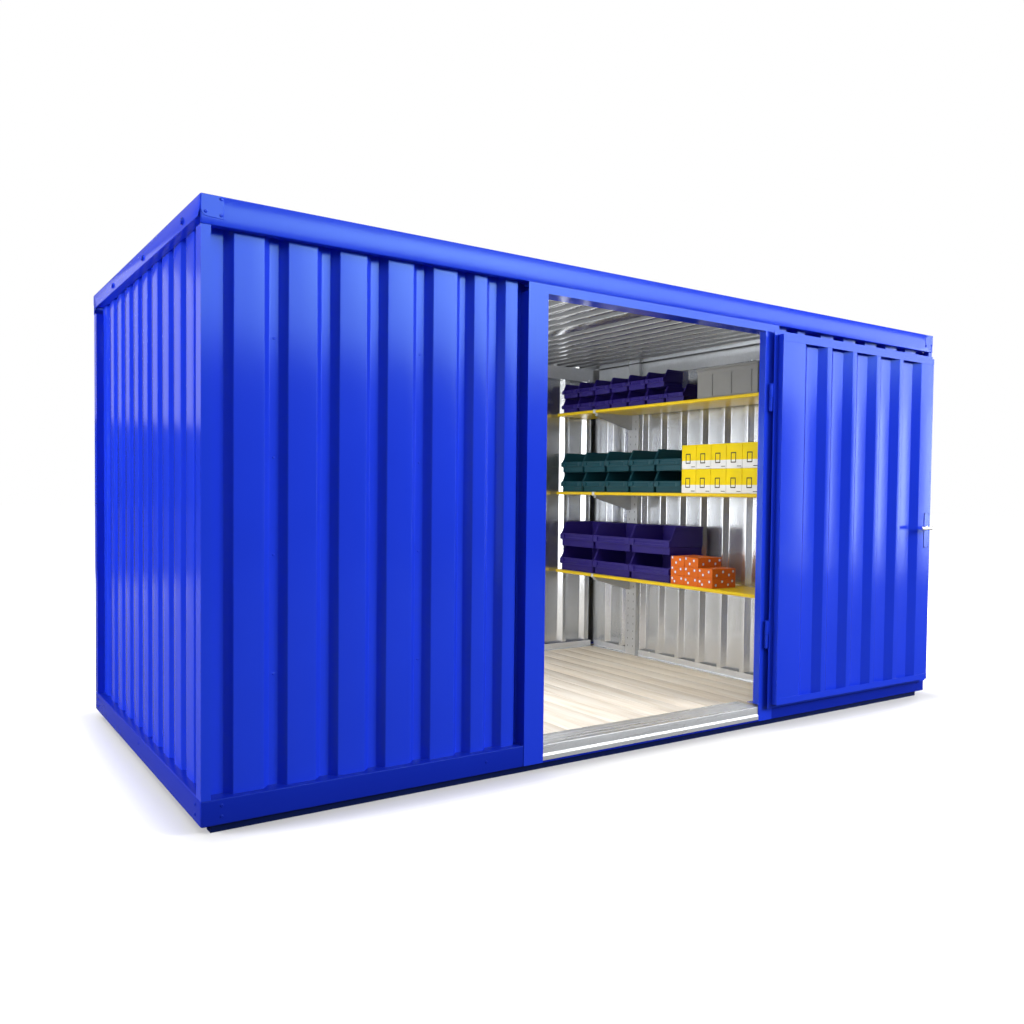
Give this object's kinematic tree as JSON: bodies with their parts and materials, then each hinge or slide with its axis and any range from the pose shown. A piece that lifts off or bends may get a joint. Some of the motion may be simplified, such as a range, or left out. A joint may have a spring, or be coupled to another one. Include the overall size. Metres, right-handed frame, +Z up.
{
  "type": "knock-down steel storage container",
  "caption": "Walk-in steel storage container of ribbed sheet on a rail frame, with a hinged door folded open against the front wall, shelves and bins inside.",
  "frame": {"origin": "middle of the whole outline on the ground, with the door folded open and its lever included", "axes": "+X along the front wall to the right, front wall with the doorway towards -Y, +Z up"},
  "size_m": [4.07, 2.286, 2.15],
  "materials": {
    "blue_paint": "glossy ultramarine powder coat on galvanised sheet",
    "dark_paint": "dark blue paint on the foot rails",
    "galvanised": "bright galvanised sheet",
    "floor_wood": "pale bare planed softwood boards",
    "bracket_paint": "dark grey paint",
    "shelf_yellow": "yellow painted shelf boards",
    "violet_plastic": "dark violet moulded plastic",
    "teal_plastic": "dark teal moulded plastic",
    "grey_plastic": "grey moulded plastic",
    "carton_yellow": "yellow and white folded carton",
    "carton_orange": "orange folded carton",
    "silver_metal": "satin silver door furniture"
  },
  "bodies": {
    "container": {"front_base_rail": "blue_paint", "rear_base_rail": "blue_paint", "left_base_rail": "blue_paint", "right_base_rail": "blue_paint", "foot_rails": "dark_paint", "floor_joists": "blue_paint", "floor_boards": "floor_wood", "threshold": "galvanised", "post_front_left": "blue_paint", "post_front_right": "blue_paint", "post_rear_left": "blue_paint", "post_rear_right": "blue_paint", "front_wall_left": "blue_paint", "front_wall_right": "blue_paint", "front_wall_over_door": "blue_paint", "rear_wall_left": "blue_paint", "rear_wall_middle": "blue_paint", "rear_wall_right": "blue_paint", "left_end_wall": "blue_paint", "right_end_wall": "blue_paint", "partition_wall": "galvanised", "door_jamb_left": "blue_paint", "door_jamb_right": "blue_paint", "door_header": "blue_paint", "front_fascia": "blue_paint", "rear_fascia": "blue_paint", "left_fascia": "blue_paint", "right_fascia": "blue_paint", "fascia_corner_plates": "blue_paint", "fascia_bolts": "blue_paint", "roof_sheets": "galvanised", "inner_top_rails": "galvanised", "inner_end_rails": "galvanised", "floor_edge_rails": "galvanised", "shelf_uprights": "galvanised", "shelf_brackets": "bracket_paint", "shelf_boards": "shelf_yellow", "top_shelf_goods": "violet_plastic", "middle_shelf_goods": "teal_plastic", "low_shelf_goods": "violet_plastic", "hinge_posts": "blue_paint"},
    "door": {"door_sheet": "blue_paint", "door_frame": "blue_paint", "door_hinge_leaves": "blue_paint", "lock_plates": "blue_paint", "lock_case": "silver_metal"},
    "handle": {"door_levers": "silver_metal"}
  },
  "joints": [
    {"name": "door_swing", "type": "hinge", "parent": "container", "child": "door", "pos_m": [0.649, -1.046, 1.08], "axis": [0, 0, -1], "range_deg": [0, 180]},
    {"name": "handle_turn", "type": "hinge", "parent": "door", "child": "handle", "pos_m": [1.915, -1.093, 1.012], "axis": [0, -1, 0], "range_deg": [0, 45], "stiffness_Nm_per_rad": 1.5, "springref_deg": -17.19}
  ]
}
